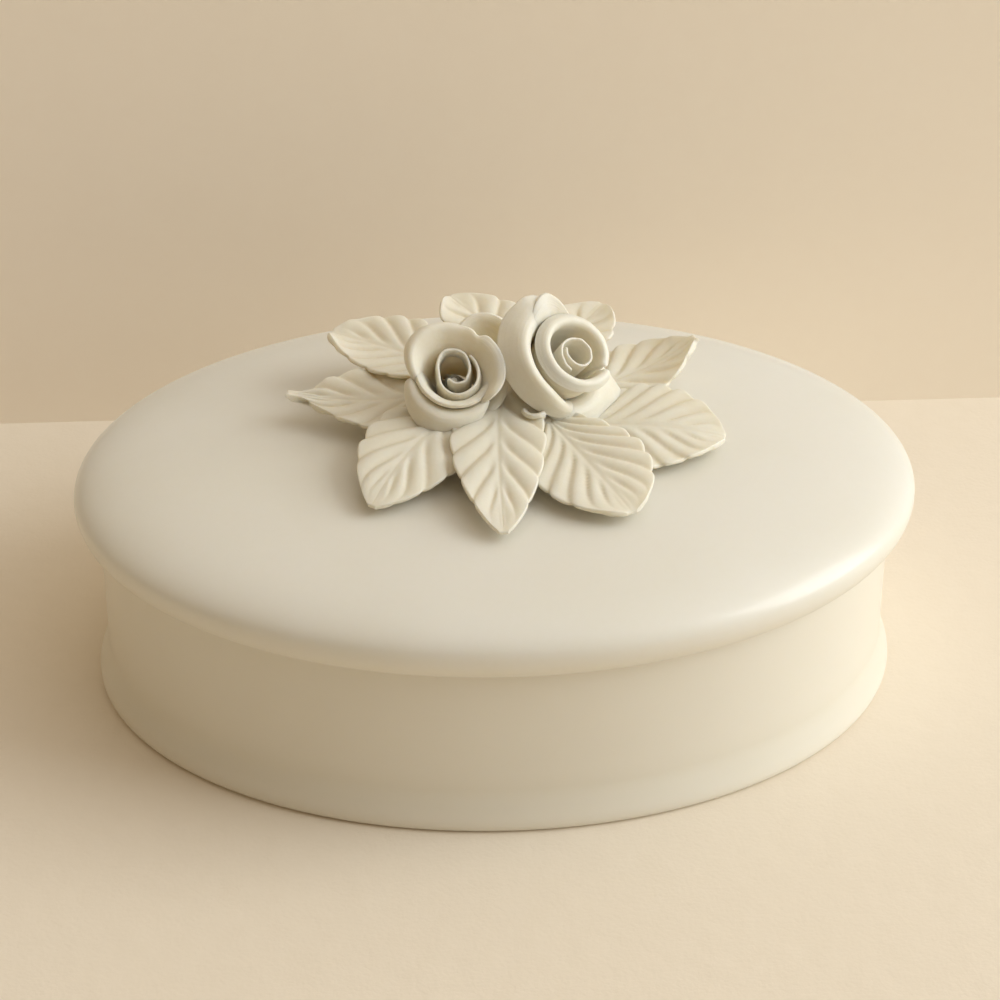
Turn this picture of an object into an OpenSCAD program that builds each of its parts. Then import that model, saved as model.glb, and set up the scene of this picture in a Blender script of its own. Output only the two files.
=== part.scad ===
// Oval porcelain trinket box: a straight-walled base on a flared foot, and a lift-off domed lid
// that carries two hand-made roses on a spray of nine pleated leaves.
// Millimetres, +Z up. The origin is on the table, under the middle of the foot. +X runs along the
// long axis of the oval, and -Y is the front.

/* [Lid] */
// Length of the lid across its widest line
lid_length = 140; // [112:1:176]
// Width of the lid across its widest line
lid_width = 104; // [84:1:128]
// Rise of the dome above the widest line
lid_rise = 8.8; // [6:0.1:14]
// Thickness of the lid at the top of the dome
lid_wall = 3; // [2:0.1:4]
// Drop from the widest line down to the seat
rim_drop = 4.2; // [3:0.1:6]
// How far the rounded underside runs in from the widest line
rim_round = 4.7; // [3.5:0.1:6.5]

/* [Base] */
// Height of the mouth above the table
mouth_height = 30.8; // [25:0.1:45]
// How far the lid reaches past the wall
lid_overhang = 4; // [3:0.1:5]
// Thickness of the wall
base_wall = 3.2; // [2.4:0.1:4]
// Thickness of the floor
floor_wall = 3.6; // [2.6:0.1:5]
// Radius where the floor turns up into the wall
floor_fillet = 6; // [4:0.1:8]
// How far the foot stands out past the wall
foot_flare = 1.8; // [1:0.1:2.6]
// Height at which the flare of the foot has died out
foot_height = 8; // [6:0.1:11]
// Radius of the rounded outer edge of the foot
foot_round = 1.6; // [1:0.1:2.2]
// Width of the ring that stands on the table
foot_ring = 4.6; // [3:0.1:6]
// Depth of the hollow under the floor
foot_recess = 1.6; // [1:0.1:2.2]

/* [Fit of the lid] */
// Gap all round between the flange and the mouth
lid_clearance = 0.8; // [0.5:0.1:1.4]
// How far the flange reaches down into the mouth
flange_depth = 4.5; // [3:0.1:7]
// Thickness of the flange
flange_wall = 2.8; // [2:0.1:3.6]

/* [Leaves] */
// Thickness of a leaf
leaf_wall = 1.4; // [1:0.1:2]
// Depth of the pleats pressed into a leaf
pleat = 0.35; // [0.1:0.05:0.6]
// Number of pleats along each half of a leaf
pleats = 6; // [4:1:8]

/* [Roses] */
// Thickness of a petal
petal_wall = 1.3; // [0.9:0.1:1.6]
// Thickness of the strip that is rolled up in the middle of a rose
heart_wall = 0.85; // [0.6:0.05:1]
// Height of the clay pad that the flowers are set on
pad_height = 6.5; // [4.5:0.1:8]
// Length of the clay pad
pad_length = 31; // [24:1:36]
// Width of the clay pad
pad_width = 24; // [18:1:28]
// How deep the cone of each rose sits in the pad
rose_sink = 1.5; // [0.5:0.1:3]

/* [Hidden] */

porcelain = [0.95, 0.93, 0.87];
bisque = [0.91, 0.87, 0.78];
turn_steps = 180;
over = 1;

lid_half_length = lid_length / 2;
lid_half_width = lid_width / 2;
widest_height = mouth_height + rim_drop;
dome_squareness = 2.6;
dome_shoulder = 2.455;
dome_steps = 26;
round_steps = 8;
flare_steps = 10;

wall_half_length = lid_half_length - lid_overhang;
foot_half_length = wall_half_length + foot_flare;
foot_half_width = lid_half_width - lid_overhang + foot_flare;
foot_ratio = foot_half_width / foot_half_length;
wall_half_width = wall_half_length * foot_ratio;
well_half_length = wall_half_length - base_wall;
well_half_width = wall_half_width - base_wall;
well_floor = foot_recess + floor_wall;
mouth_round = 0.7;
recess_half_length = foot_half_length - foot_round - foot_ring;
recess_half_width = foot_half_width - foot_round - foot_ring;
recess_slope = 1.2;

flange_half_length = well_half_length - lid_clearance;
flange_half_width = well_half_width - lid_clearance;
flange_round = 0.8;
hollow_half_length = flange_half_length - flange_wall;
hollow_half_width = flange_half_width - flange_wall;
hollow_rise = rim_drop + lid_rise - lid_wall;

pad_spot = [0, 4];
pad_rim = 0.8;
pad_steps = 14;
leaf_rows = 18;
leaf_columns = 8;
petal_rows = 9;
petal_columns = 18;

// Ovals: a profile is turned about Z at its own half length, a quarter at a time, and is then
// narrowed to its half width.
module oval_turn(half_length, half_width)
  scale([1, half_width / half_length, 1])
    for (quarter = [0:3])
      rotate([0, 0, 90 * quarter])
        rotate_extrude(angle = 90, $fn = turn_steps)
          children();

// One point of the dome's profile, from the top (0 degrees) to the widest line (90 degrees).
function dome_point(half_length, foot, rise, angle) =
  [half_length * pow(sin(angle), 2 / dome_squareness), foot + rise * pow(cos(angle), 2 / dome_shoulder)];

function dome_profile(half_length, foot, rise) =
  [for (i = [0:dome_steps]) dome_point(half_length, foot, rise, 90 * i / dome_steps)];

// Height of the dome's outside above the table at any place on the lid.
function dome_height(x, y) =
  let (reach = min(1, norm([x / lid_half_length, y / lid_half_width])))
  widest_height + lid_rise * pow(1 - pow(reach, dome_squareness), 1 / dome_shoulder);

function mix(a, b, t) = a + (b - a) * t;

function curve(a, b, c, d, t) =
  pow(1 - t, 3) * a + 3 * t * pow(1 - t, 2) * b + 3 * t * t * (1 - t) * c + pow(t, 3) * d;

// A closed sheet between two equal grids of points, front and back.
module sheet(front, back) {
  rows = len(front);
  columns = len(front[0]);
  count = rows * columns;
  points = [for (grid = [front, back]) for (row = grid) for (point = row) point];
  front_faces = [for (i = [0:rows - 2]) for (j = [0:columns - 2])
    let (k = i * columns + j)
    each [[k, k + 1, k + columns], [k + 1, k + columns + 1, k + columns]]];
  back_faces = [for (face = front_faces) [face[2] + count, face[1] + count, face[0] + count]];
  edge = concat(
    [for (j = [0:columns - 1]) j],
    [for (i = [1:rows - 1]) i * columns + columns - 1],
    [for (j = [columns - 2:-1:0]) (rows - 1) * columns + j],
    [for (i = [rows - 2:-1:1]) i * columns]);
  edge_faces = [for (n = [0:len(edge) - 1])
    let (a = edge[n], b = edge[(n + 1) % len(edge)])
    each [[a, a + count, b], [b, a + count, b + count]]];
  polyhedron(points, concat(front_faces, back_faces, edge_faces), convexity = 6);
}

// Base and lid ------------------------------------------------------------------------------

// Outside of the base, from the table up: rounded edge, hollow flare, straight wall, soft lip.
function base_profile() = concat(
  [[0, -over], [foot_half_length - foot_round, -over]],
  [for (i = [0:round_steps])
    let (angle = 90 * i / round_steps)
    [foot_half_length - foot_round * (1 - sin(angle)), foot_round * (1 - cos(angle))]],
  [for (i = [1:flare_steps])
    let (t = i / flare_steps)
    [mix(foot_half_length, wall_half_length, (1 - cos(180 * t)) / 2), mix(foot_round, foot_height, t)]],
  [[wall_half_length, mouth_height - mouth_round]],
  [for (i = [1:3])
    let (angle = 30 * i)
    [wall_half_length - mouth_round * (1 - cos(angle)), mouth_height - mouth_round * (1 - sin(angle))]],
  [[0, mouth_height]]);

function well_profile() = concat(
  [[0, well_floor]],
  [for (i = [0:round_steps])
    let (angle = 90 * i / round_steps)
    [well_half_length - floor_fillet * (1 - sin(angle)), well_floor + floor_fillet * (1 - cos(angle))]],
  [[well_half_length, mouth_height + over], [0, mouth_height + over]]);

module base()
  color(porcelain)
    difference() {
      oval_turn(foot_half_length, foot_half_width)
        polygon(base_profile());
      oval_turn(well_half_length, well_half_width)
        polygon(well_profile());
      oval_turn(recess_half_length, recess_half_width)
        polygon([[0, -over], [recess_half_length, -over], [recess_half_length, 0],
          [recess_half_length - recess_slope, foot_recess], [0, foot_recess]]);
      translate([-lid_length, -lid_width, -2 * over])
        cube([2 * lid_length, 2 * lid_width, 2 * over]);
    }

// Outside of the lid down to its seat, with no flange and no hollow.
module lid_blank()
  oval_turn(lid_half_length, lid_half_width)
    polygon(concat(
      dome_profile(lid_half_length, widest_height, lid_rise),
      [for (i = [1:round_steps])
        let (angle = 90 * i / round_steps)
        [lid_half_length - rim_round * (1 - cos(angle)), widest_height - rim_drop * sin(angle)]],
      [[0, mouth_height]]));

module lid()
  color(porcelain)
    difference() {
      union() {
        lid_blank();
        oval_turn(flange_half_length, flange_half_width)
          polygon([[0, mouth_height - flange_depth],
            [flange_half_length - flange_round, mouth_height - flange_depth],
            [flange_half_length, mouth_height - flange_depth + flange_round],
            [flange_half_length, mouth_height + over], [0, mouth_height + over]]);
      }
      oval_turn(hollow_half_length, hollow_half_width)
        polygon(concat(
          dome_profile(hollow_half_length, mouth_height, hollow_rise),
          [[hollow_half_length, mouth_height - flange_depth - over],
            [0, mouth_height - flange_depth - over]]));
    }

// Leaves ------------------------------------------------------------------------------------

// Half width of a leaf along its length, with its scalloped edge. A slim leaf has a long point,
// and belly is the share of the length at which it is widest.
function leaf_half_width(width, slim, belly, s) =
  max(0.5, width / 2 * pow(sin(180 * pow(mix(0.08, 1, s), ln(0.5) / ln(mix(0.08, 1, belly)))), slim)
    * (1 + 0.04 * cos(360 * pleats * s)));

// Height of a leaf above the lid: lifts are at its stem, middle and tip.
function leaf_lift(lifts, cup, tilt, s, u) =
  curve(lifts[0], lifts[1], lifts[1], lifts[2], s)
    + cup * u * u + tilt * u * sin(180 * s)
    + pleat * sqrt(abs(u)) * cos(360 * pleats * (s - 0.22 * abs(u)));

function leaf_point(stem, tip, width, lifts, slim, belly, bow, cup, tilt, s, u, drop) =
  let (
    along = tip - stem,
    across = [-along[1], along[0]] / norm(along),
    aside = u * leaf_half_width(width, slim, belly, s) + bow * sin(180 * s),
    place = stem + along * s + across * aside)
  [place[0], place[1],
    dome_height(place[0], place[1]) + leaf_lift(lifts, cup, tilt, s, u) - drop];

// A pleated leaf from stem to tip, laid over the dome. bow bends it towards its left side, cup
// raises both edges, and tilt raises the left edge and lowers the right one.
module leaf(stem, tip, width, lifts, slim, belly, bow = 0, cup = 0, tilt = 0) {
  grids = [for (drop = [0, leaf_wall])
    [for (i = [0:leaf_rows])
      [for (j = [0:leaf_columns])
        leaf_point(stem, tip, width, lifts, slim, belly, bow, cup, tilt, i / leaf_rows,
          2 * j / leaf_columns - 1, drop)]]];
  color(bisque)
    sheet(grids[0], grids[1]);
}

module leaf_front()
  leaf([0.6, 1], [-1.6, -30.4], 15.2, [6, 5.2, 2.4], 0.6, 0.34, bow = -0.4, cup = 0.3);

module leaf_front_left()
  leaf([-4.5, -1.5], [-21, -22.4], 18, [4.8, 4.4, 2.3], 0.64, 0.38, bow = -1.5, tilt = -0.8);

module leaf_left()
  leaf([-8, 4.5], [-34.4, 7], 17, [6.8, 4.4, 6], 2.1, 0.36, bow = 0.6, cup = 0.8, tilt = -1.6);

module leaf_back_left()
  leaf([-6, 10], [-26.8, 22], 15.5, [7.4, 7.6, 9], 0.62, 0.46, bow = -0.8, cup = 1.4, tilt = -1.2);

module leaf_back()
  leaf([3, 12], [-6.5, 28.5], 14.5, [7, 9, 11.8], 0.6, 0.46, bow = -1.8, cup = 0.8, tilt = -0.8);

module leaf_back_right()
  leaf([8, 12], [20, 28.5], 14, [7, 7.4, 9.8], 0.6, 0.5, bow = 0.6, cup = 0.8);

module leaf_right_back()
  leaf([12, 8], [34.8, 17.6], 14.5, [3, 3, 8.4], 0.8, 0.56, bow = 0.6, cup = 0.8, tilt = 0.8);

module leaf_right()
  leaf([14, 0], [37.6, -4.8], 22, [1.6, 3.6, 2.6], 0.66, 0.46, bow = -1.2, cup = 0.5, tilt = 1.2);

module leaf_front_right()
  leaf([9, -4], [20.2, -26.2], 20, [3, 4.2, 2.5], 0.56, 0.54, bow = -0.2, cup = 0.4, tilt = 1);

// Roses -------------------------------------------------------------------------------------

// Each rose: where its cone stands on the lid, the way it faces, and how far it leans that way.
left_rose = [-6.6, 5, -93, 35];
right_rose = [6.8, 7.8, -42, 38];

// Puts a rose in its place. Angle 0 of a petal is then on the low side, under the open face.
module set_rose(rose)
  translate([rose[0], rose[1], dome_height(rose[0], rose[1]) + pad_height - rose_sink])
    rotate([0, rose[3], rose[2]])
      children();

// A smooth line through a list of points, with t from 0 to 1 along it.
function along(points, t) =
  let (
    last = len(points) - 1,
    k = min(floor(t * last), last - 1),
    f = t * last - k,
    a = points[max(k - 1, 0)],
    b = points[k],
    c = points[k + 1],
    d = points[min(k + 2, last)])
  b + f / 2 * ((c - a) + f * ((2 * a - 5 * b + 4 * c - d) + f * (3 * (b - c) + d - a)));

// One point of a petal. Each station is [angle, then radius and height of the foot, waist, crest
// and lip at that angle]. s runs from foot to lip, and u from the first station to the last.
function petal_point(stations, wall, side, s, u) =
  let (
    here = along(stations, u),
    profile = [for (i = [1:2:7]) [here[i], here[i + 1]]],
    ahead = along(profile, min(1, s + 0.02)) - along(profile, max(0, s - 0.02)),
    out = [ahead[1], -ahead[0]] / norm(ahead),
    rim = along(profile, s) + out * side * wall * mix(1, 0.6, pow(s, 3)) / 2)
  [rim[0] * cos(here[0]), rim[0] * sin(here[0]), rim[1]];

module petal(stations, wall = petal_wall) {
  columns = max(petal_columns, 3 * (len(stations) - 1));
  grids = [for (side = [-1, 1])
    [for (i = [0:petal_rows])
      [for (j = [0:columns])
        petal_point(stations, wall, side, i / petal_rows, j / columns)]]];
  color(bisque)
    sheet(grids[0], grids[1]);
}

// Stations that share one foot.
function on_foot(foot, stations) =
  [for (p = stations) concat([p[0]], foot, [for (i = [1:6]) p[i]])];

// Stations of a rolled strip, from the angle, radius and height of its top edge. It narrows
// towards its foot.
function rolled(foot_height, narrowing, edge) =
  [for (p = edge) [p[0],
    p[1] * narrowing, foot_height,
    p[1] * mix(narrowing, 1, 0.4), mix(foot_height, p[2], 0.4),
    p[1] * mix(narrowing, 1, 0.8), mix(foot_height, p[2], 0.8),
    p[1], p[2]]];

// The cone of clay that the petals of a rose are wrapped round.
module rose_core(height, radius)
  color(bisque)
    cylinder(h = height, r1 = radius, r2 = radius * 0.3, $fn = 48);

module left_rose_core()
  set_rose(left_rose)
    rose_core(6.4, 3.4);

module left_rose_heart()
  set_rose(left_rose)
    petal(rolled(4.5, 0.72, [
      [-70, 0.85, 8.3], [-20, 1.05, 8.4], [20, 1.45, 8.5], [60, 2, 8.6], [100, 2.5, 8.8],
      [135, 3.3, 9], [165, 4.1, 9.3], [198, 4.25, 9.5], [226, 3.5, 9.4], [262, 2.5, 9.2],
      [300, 2.6, 9.1], [340, 3.2, 9.1], [376, 3.8, 9.2], [415, 3.95, 9.2], [450, 4.05, 9.1],
      [482, 4.2, 9]]), heart_wall);

module left_rose_inner_petal()
  set_rose(left_rose)
    petal(on_foot([3.3, 1.5], [
      [-98, 4.8, 5.6, 5.9, 8, 6.5, 8.7], [-82, 4.4, 5.4, 5.4, 8.2, 6.2, 9.1],
      [-60, 4.2, 5.2, 5.1, 8.4, 6, 9.3], [-35, 4.1, 5.2, 4.9, 8.4, 5.9, 9.3],
      [-10, 4.2, 5.2, 5, 8.3, 5.9, 9.1], [20, 4.3, 5.2, 5.1, 8.1, 6, 8.8],
      [48, 4.4, 5, 5.3, 7.9, 6.3, 8.5], [74, 4.5, 4.8, 5.8, 7.9, 6.6, 8.5],
      [98, 4.6, 4.8, 6.1, 7.9, 6.6, 8.4]]));

module left_rose_outer_petal()
  set_rose(left_rose)
    petal(on_foot([3.9, 1], [
      [44, 5, 4.6, 6.2, 7.4, 6.9, 7.9], [58, 5, 5.4, 6.9, 8.9, 7.8, 9.6],
      [78, 4.9, 5.8, 7.1, 9.2, 8.35, 9.9], [100, 4.8, 6, 7, 9.4, 8.4, 10.2],
      [122, 4.7, 6.2, 6.9, 9.7, 8.35, 10.5], [138, 4.7, 6.3, 6.8, 9.8, 8.1, 10.8],
      [147, 4.7, 6.4, 6.6, 9.9, 7.3, 10.6], [158, 4.7, 6.4, 6.8, 10.1, 7.7, 11],
      [176, 4.8, 6.4, 7, 10.4, 8.1, 10.8], [198, 4.9, 6.4, 7.5, 10.8, 8.7, 10.6],
      [220, 5, 6.2, 7.8, 11.1, 9.1, 10.5], [240, 5.1, 6, 7.7, 10.7, 9, 10],
      [262, 5.1, 5.6, 6.9, 9.9, 7.8, 9.3], [274, 5, 5.3, 6.5, 9.3, 7.2, 8.7],
      [290, 4.9, 4.9, 6, 8.4, 6.5, 7.6], [304, 4.8, 4.4, 5.4, 7, 5.9, 6.4]]));

module left_rose_low_petal()
  set_rose(left_rose)
    petal(on_foot([4.2, 0.2], [
      [-92, 5.8, 5.4, 6.8, 7.9, 7.3, 7.4], [-80, 5.5, 5.4, 6.9, 8.1, 8, 7],
      [-66, 5.2, 5.5, 7, 8.1, 8.7, 6.2], [-45, 5.2, 5.5, 7.2, 7.9, 9.3, 5.4],
      [-22, 5.3, 5.5, 7.4, 7.8, 9.75, 5.1], [0, 5.4, 5.4, 7.3, 7.6, 9.2, 5],
      [24, 5.6, 5.4, 7, 7.3, 8.1, 5.6], [44, 5.7, 5.4, 6.6, 7.2, 7.2, 6.4],
      [58, 5.6, 5.4, 6.2, 7, 6.5, 6.8]]));

module left_rose_under_petal()
  set_rose(left_rose)
    petal(on_foot([4, -0.5], [
      [50, 5.4, 2, 7.2, 4.2, 8, 4.4], [66, 5.6, 2.2, 7.6, 4.6, 8.6, 4.8],
      [84, 5.6, 2.3, 7.8, 4.8, 8.9, 4.9], [102, 5.5, 2.2, 7.6, 4.6, 8.7, 4.7],
      [118, 5.2, 2, 7, 4, 7.8, 4]]));

module right_rose_core()
  set_rose(right_rose)
    rose_core(7.4, 3.8);

module right_rose_heart()
  set_rose(right_rose)
    translate([1.2, 0.9, 0])
      petal(rolled(5.5, 0.85, [
        [205, 2.2, 12.3], [260, 2.25, 12.5], [318, 2.3, 12.5], [380, 2.3, 12.7],
        [440, 2.3, 12.9], [498, 2.4, 13], [540, 2.8, 12.8], [588, 3.2, 12.5],
        [630, 3.25, 12.1], [664, 3.15, 11.6]]), heart_wall * 0.8);

module right_rose_inner_petal()
  set_rose(right_rose)
    translate([0.85, 1.3, 0])
      petal(on_foot([3.3, 1.5], [
        [32, 4.2, 7, 4.8, 11.3, 5.5, 11.4], [62, 4.4, 7.2, 5, 11.9, 6, 11.7],
        [100, 4.6, 7.4, 5.1, 12.3, 6.3, 12.1], [150, 4.8, 7.6, 5.2, 12.5, 6.7, 12.1],
        [190, 5.2, 7.8, 5.5, 12.4, 7.3, 11.7], [230, 5.6, 8, 5.7, 12.2, 7.6, 11],
        [275, 5.6, 8, 5.7, 12, 7.4, 10.6], [320, 5.3, 8, 5.6, 11.9, 7, 10.8],
        [358, 5, 7.8, 5.6, 11.9, 6.8, 11.1], [388, 4.9, 7.6, 5.8, 11.8, 6.8, 11.2]]));

module right_rose_left_petal()
  set_rose(right_rose)
    petal(on_foot([4.4, 0.5], [
      [158, 6.4, 7, 8.2, 10.2, 9, 10.8], [170, 6.2, 7.4, 8.3, 11.4, 10.6, 11.9],
      [181, 6.1, 7.5, 8.1, 11.8, 11.5, 11.8], [191, 6, 7.5, 7.9, 11.6, 11.7, 10.8],
      [205, 6, 7.4, 7.8, 11.4, 11.8, 9], [225, 6.1, 7.2, 7.9, 11.2, 11.2, 7.6],
      [250, 6.2, 7, 8.1, 11, 10.4, 6.8], [275, 6.3, 6.8, 8.2, 10.6, 10, 6.4],
      [298, 6.4, 6.4, 8.3, 10, 9.8, 6.3], [318, 6.5, 6, 8.5, 9, 9.5, 6.3],
      [336, 6.5, 5.6, 8.2, 7.8, 8.9, 6.2]]));

module right_rose_back_petal()
  set_rose(right_rose)
    petal(on_foot([4.6, 0], [
      [118, 5.2, 6.8, 5.6, 10, 5.9, 11.2], [136, 5.4, 7, 6.1, 10.8, 6.8, 12.2],
      [148, 5.5, 7.2, 6.5, 11.2, 8.2, 13], [158, 5.6, 7.3, 6.9, 11.4, 9.5, 13.4],
      [167, 5.6, 7.3, 7.1, 11.5, 10.4, 13.4], [178, 5.6, 7.3, 7.2, 11.6, 10, 12.9],
      [190, 5.7, 7.2, 7.3, 11.4, 8.9, 12],
      [199, 5.8, 7, 7.4, 11, 8.1, 11.4], [208, 5.9, 6.9, 7.4, 10.4, 7.8, 10.7],
      [216, 5.9, 6.8, 7.2, 9.8, 7.5, 10]]));

module right_rose_low_petal()
  set_rose(right_rose)
    petal(on_foot([4.6, -0.5], [
      [-52, 6, 4, 7.4, 6, 8.2, 4.9], [-26, 6.2, 4.4, 8.1, 6.3, 9.9, 4.8],
      [-2, 6.4, 4.6, 8.5, 6.5, 10.9, 4.8], [20, 6.5, 4.8, 8.7, 6.7, 11.6, 4.9],
      [36, 6.5, 5, 8.8, 6.8, 13.2, 5], [44, 6.5, 5, 8.8, 6.9, 14.2, 4.8],
      [52, 6.4, 5, 8.6, 6.9, 12, 5.8], [64, 6.2, 5, 8, 6.9, 9.8, 6.2],
      [78, 6, 5, 7.4, 6.6, 8.4, 6.2]]));

// Filling between the roses -----------------------------------------------------------------

// One point of the pad: u and v run from -1 to 1 over a square that is drawn out to an oval.
function pad_point(u, v, height) =
  let (
    x = u * sqrt(1 - v * v / 2),
    y = v * sqrt(1 - u * u / 2),
    place = pad_spot + [x * pad_length / 2, y * pad_width / 2])
  [place[0], place[1],
    dome_height(place[0], place[1]) + mix(0, height, sqrt(max(0, 1 - x * x - y * y)))];

// A low oval mound of clay that fits the top of the dome.
module flower_pad() {
  grids = [for (layer = [[pad_height - pad_rim, pad_rim], [0, 0]])
    [for (i = [0:pad_steps])
      [for (j = [0:pad_steps])
        pad_point(2 * i / pad_steps - 1, 2 * j / pad_steps - 1, layer[0]) + [0, 0, layer[1]]]]];
  color(bisque)
    sheet(grids[0], grids[1]);
}

module tucked_petal()
  translate([-1.3, 14.4, dome_height(-1.3, 14.4) + pad_height - rose_sink])
    rotate([0, 20, -90])
      petal(on_foot([2.6, -2], [
        [112, 3.6, 2, 4.6, 4.6, 5, 5.6], [140, 3.8, 2.4, 5, 5.6, 5.7, 6.7],
        [180, 3.9, 2.6, 5.2, 6.2, 6, 7.2], [220, 3.8, 2.4, 5, 5.6, 5.7, 6.7],
        [248, 3.6, 2, 4.6, 4.6, 5, 5.6]]));

module small_sepal()
  translate([6.4, -2.2, dome_height(6.4, -2.2) + pad_height])
    rotate([0, 30, -100])
      petal(on_foot([1.2, -2], [
        [-72, 1.5, -0.6, 1.9, 0.8, 2.2, 1.2], [-30, 1.6, -0.4, 2.1, 1.2, 2.5, 1.7],
        [20, 1.6, -0.4, 2.1, 1.3, 2.5, 1.8], [62, 1.5, -0.6, 1.9, 0.9, 2.2, 1.3]]));

base();
lid();
flower_pad();
leaf_front();
leaf_front_left();
leaf_left();
leaf_back_left();
leaf_back();
leaf_back_right();
leaf_right_back();
leaf_right();
leaf_front_right();
left_rose_core();
left_rose_heart();
left_rose_inner_petal();
left_rose_outer_petal();
left_rose_low_petal();
left_rose_under_petal();
right_rose_core();
right_rose_heart();
right_rose_inner_petal();
right_rose_left_petal();
right_rose_back_petal();
right_rose_low_petal();
tucked_petal();
small_sepal();
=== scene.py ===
# Oval porcelain trinket box: a base on a flared foot, and a lift-off lid with clay roses and leaves.
import bpy
import math
from mathutils import Matrix, Quaternion, Vector, noise


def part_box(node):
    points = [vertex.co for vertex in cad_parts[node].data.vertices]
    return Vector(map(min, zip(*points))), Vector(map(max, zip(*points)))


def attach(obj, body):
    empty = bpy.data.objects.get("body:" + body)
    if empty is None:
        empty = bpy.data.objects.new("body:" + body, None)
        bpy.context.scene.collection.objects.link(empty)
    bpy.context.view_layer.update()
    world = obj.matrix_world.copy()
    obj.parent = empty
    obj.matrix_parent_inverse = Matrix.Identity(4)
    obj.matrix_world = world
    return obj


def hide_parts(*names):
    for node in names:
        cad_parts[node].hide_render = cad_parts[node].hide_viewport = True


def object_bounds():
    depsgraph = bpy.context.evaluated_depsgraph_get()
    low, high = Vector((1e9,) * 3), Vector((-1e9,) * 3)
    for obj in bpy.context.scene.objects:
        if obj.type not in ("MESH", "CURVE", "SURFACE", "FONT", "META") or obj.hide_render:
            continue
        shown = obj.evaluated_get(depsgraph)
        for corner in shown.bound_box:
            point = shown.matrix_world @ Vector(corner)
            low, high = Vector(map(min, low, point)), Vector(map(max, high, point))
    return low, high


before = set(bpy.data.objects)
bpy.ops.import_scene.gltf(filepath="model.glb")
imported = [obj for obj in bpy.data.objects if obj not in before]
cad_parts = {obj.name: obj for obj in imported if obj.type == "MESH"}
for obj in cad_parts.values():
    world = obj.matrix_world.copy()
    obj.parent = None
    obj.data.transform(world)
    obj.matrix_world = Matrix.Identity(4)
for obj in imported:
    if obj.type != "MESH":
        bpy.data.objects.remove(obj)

cadLow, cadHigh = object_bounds()
mm = 0.001
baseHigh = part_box("base")[1]
lidLow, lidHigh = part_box("lid")
mouthHeight = baseHigh.z  # the lid's seat rests here


def blend(a, b, t):
    return a + (b - a) * t


def ease(low, high, value):  # 0 below low, 1 above high, smooth between them
    t = min(1, max(0, (value - low) / (high - low)))
    return t * t * (3 - 2 * t)


def along(points, t):  # smooth line through rows of numbers, t from 0 to 1
    last = len(points) - 1
    k = min(int(t * last), last - 1)
    f = t * last - k
    rows = zip(points[max(k - 1, 0)], points[k], points[k + 1], points[min(k + 2, last)])
    return [
        b + f / 2 * ((c - a) + f * ((2 * a - 5 * b + 4 * c - d) + f * (3 * (b - c) + d - a)))
        for a, b, c, d in rows
    ]


# Working by hand: selections, modifiers and the last steps that every piece goes through.
def addPrimitive(operator, name, **settings):
    bpy.ops.object.select_all(action="DESELECT")
    operator(**settings)
    piece = bpy.context.object
    piece.name = name
    piece.data.name = name
    return piece


def pickOnly(piece):
    bpy.ops.object.select_all(action="DESELECT")
    bpy.context.view_layer.objects.active = piece
    piece.select_set(True)


def inEditMode(piece):
    pickOnly(piece)
    bpy.ops.object.mode_set(mode="EDIT")
    bpy.ops.mesh.select_all(action="SELECT")


def applyModifier(piece, kind, **settings):
    pickOnly(piece)
    modifier = piece.modifiers.new(kind.title(), kind)
    for key, value in settings.items():
        setattr(modifier, key, value)
    bpy.ops.object.modifier_apply(modifier=modifier.name)


def finishPiece(piece, body, slotName, material, *nodes):
    pickOnly(piece)
    bpy.ops.object.shade_smooth()
    piece.data.materials.clear()
    piece.data.materials.append(material)
    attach(piece, body)
    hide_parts(*nodes)


# Node groups and materials.
def newGroup(name, inputs, outputs):
    group = bpy.data.node_groups.new(name, "ShaderNodeTree")
    for title, kind, value in inputs:
        socket = group.interface.new_socket(name=title, in_out="INPUT", socket_type=kind)
        if value is not None:
            socket.default_value = value
    for title, kind in outputs:
        group.interface.new_socket(name=title, in_out="OUTPUT", socket_type=kind)
    return group, group.nodes.new("NodeGroupInput"), group.nodes.new("NodeGroupOutput")


def addNode(tree, kind, inputs, **settings):  # inputs are linked sockets or plain values
    node = tree.nodes.new(kind)
    for key, value in settings.items():
        setattr(node, key, value)
    for key, value in inputs.items():
        if isinstance(value, bpy.types.NodeSocket):
            tree.links.new(value, node.inputs[key])
        else:
            node.inputs[key].default_value = value
    return node


def mathNode(tree, operation, first, second=0.0, clamp=False):
    node = addNode(tree, "ShaderNodeMath", {0: first, 1: second}, operation=operation, use_clamp=clamp)
    return node.outputs[0]


def vectorNode(tree, operation, inputs):
    return addNode(tree, "ShaderNodeVectorMath", inputs, operation=operation)


def mixColours(tree, factor, first, second):
    node = addNode(tree, "ShaderNodeMix", {0: factor, 6: first, 7: second}, data_type="RGBA")
    return node.outputs[2]


def noiseMask(tree, vector, scale, detail):
    inputs = {"Vector": vector, "Scale": scale, "Detail": detail}
    return addNode(tree, "ShaderNodeTexNoise", inputs).outputs[0]


def spread(tree, value, low, high, toLow=0.0, toHigh=1.0):
    inputs = {0: value, 1: low, 2: high, 3: toLow, 4: toHigh}
    return addNode(tree, "ShaderNodeMapRange", inputs, interpolation_type="SMOOTHSTEP").outputs[0]


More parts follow.
